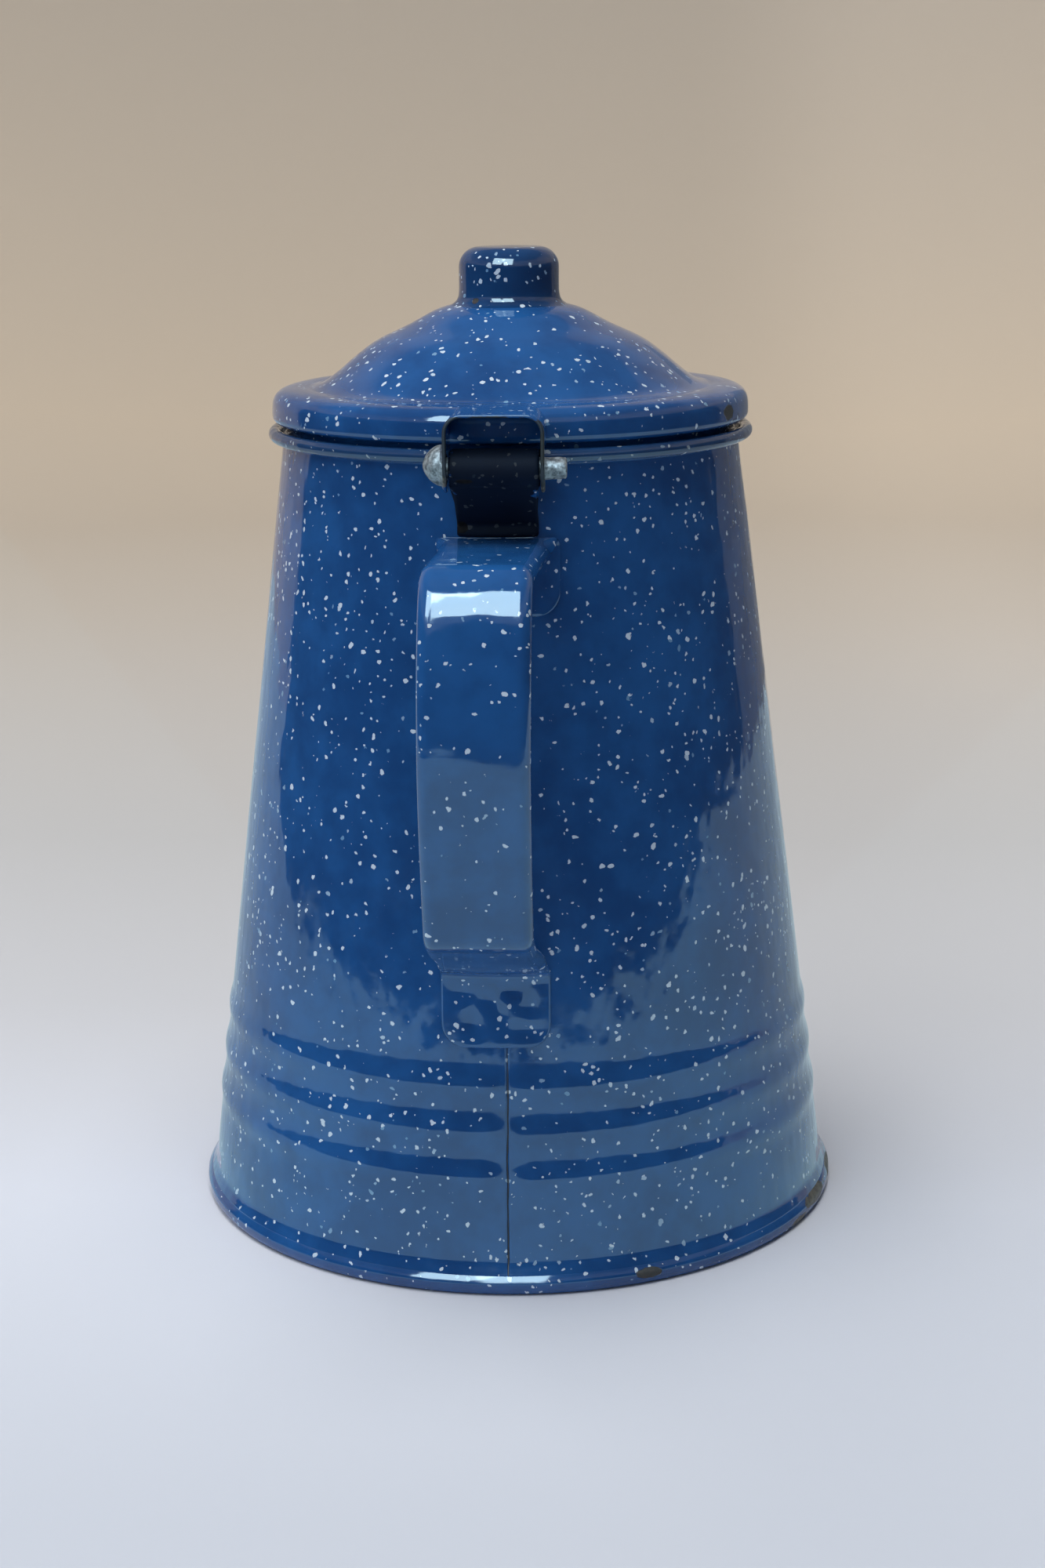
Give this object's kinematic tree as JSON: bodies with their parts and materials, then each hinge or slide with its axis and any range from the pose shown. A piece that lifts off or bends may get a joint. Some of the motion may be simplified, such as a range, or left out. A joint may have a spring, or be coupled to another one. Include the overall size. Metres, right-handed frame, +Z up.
{
  "type": "coffee pot",
  "caption": "Conical speckled blue enamel coffee pot with a beak spout, a strap handle and a domed lid that hinges back over the handle.",
  "frame": {"origin": "centre of the base, on the table", "axes": "+Z up; the spout points along +Y; the handle and the hinge are at -Y; the hinge pin lies along X"},
  "size_m": [0.1486, 0.194, 0.2175],
  "materials": {
    "blue_enamel": "glossy vitreous enamel with white speckles, on sheet steel",
    "aluminium_rivet": "dull, with hammer marks"
  },
  "bodies": {
    "pot": {"body_wall": "blue_enamel", "base_disc": "blue_enamel", "spout": "blue_enamel", "handle_strap": "blue_enamel", "hinge_tab": "blue_enamel"},
    "lid": {"lid_shell": "blue_enamel", "lid_knob": "blue_enamel", "hinge_bracket": "blue_enamel", "hinge_rivet": "aluminium_rivet"}
  },
  "joints": [
    {"name": "lid_hinge", "type": "hinge", "parent": "pot", "child": "lid", "pos_m": [0, -0.062, 0.1758], "axis": [1, 0, 0], "range_deg": [0, 170]}
  ]
}
